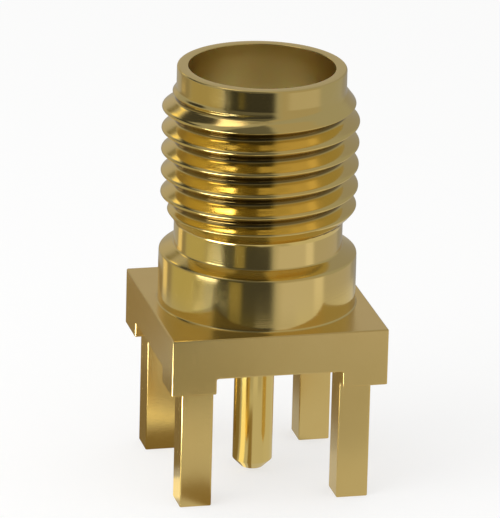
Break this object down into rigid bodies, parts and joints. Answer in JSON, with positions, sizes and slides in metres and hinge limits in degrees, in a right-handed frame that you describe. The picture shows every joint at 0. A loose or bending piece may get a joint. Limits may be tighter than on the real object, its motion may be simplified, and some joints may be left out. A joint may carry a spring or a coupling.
{
  "type": "coaxial board connector",
  "caption": "Straight gold-plated coaxial jack for circuit boards: screw coupling barrel, square flange with solder legs and a socket contact.",
  "frame": {"origin": "on the connector's axis, at the face of the board that the four corner standoffs rest on", "axes": "+Z along the connector's axis toward the mating face; X and Y parallel to the sides of the square flange"},
  "size_m": [0.007, 0.007, 0.0135],
  "materials": {
    "plated_brass": "gold plating over turned and milled brass, bright in the lathe's grooves and satin on the milled flange",
    "dielectric": "white fluoropolymer, waxy and matte",
    "plated_contact": "polished gold plating over a copper alloy"
  },
  "bodies": {
    "root": {"body": "plated_brass", "insulator": "dielectric", "centre_contact": "plated_contact"}
  },
  "joints": []
}
